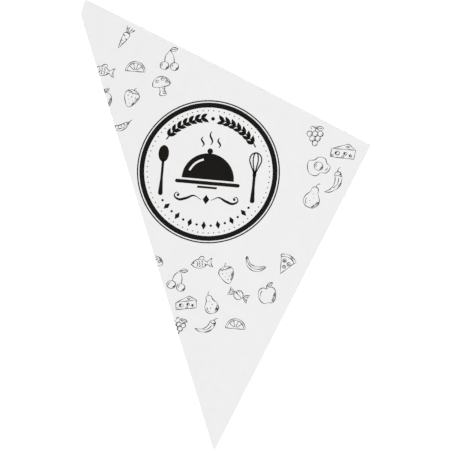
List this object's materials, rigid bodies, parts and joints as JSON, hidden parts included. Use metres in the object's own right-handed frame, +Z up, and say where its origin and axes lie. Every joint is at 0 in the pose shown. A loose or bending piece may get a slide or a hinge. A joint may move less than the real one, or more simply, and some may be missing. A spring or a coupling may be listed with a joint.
{
  "type": "paper cone bag",
  "caption": "Flat-folded triangular paper cone bag with a glued side, a straight open mouth with a notched corner, and black line print.",
  "frame": {"origin": "on the table, under the middle of the bag's bounding box", "axes": "+Z up, out of the printed front; +Y along the glued side, from the tip to the mouth; +X towards the glued side, -X towards the crease"},
  "size_m": [0.2142, 0.2284, 0.0086],
  "materials": {
    "paper": "uncoated white food paper",
    "ink": "matt near-black ink, printed on the paper in line and solid"
  },
  "bodies": {
    "root": {"cone_bag": "paper"}
  },
  "joints": []
}
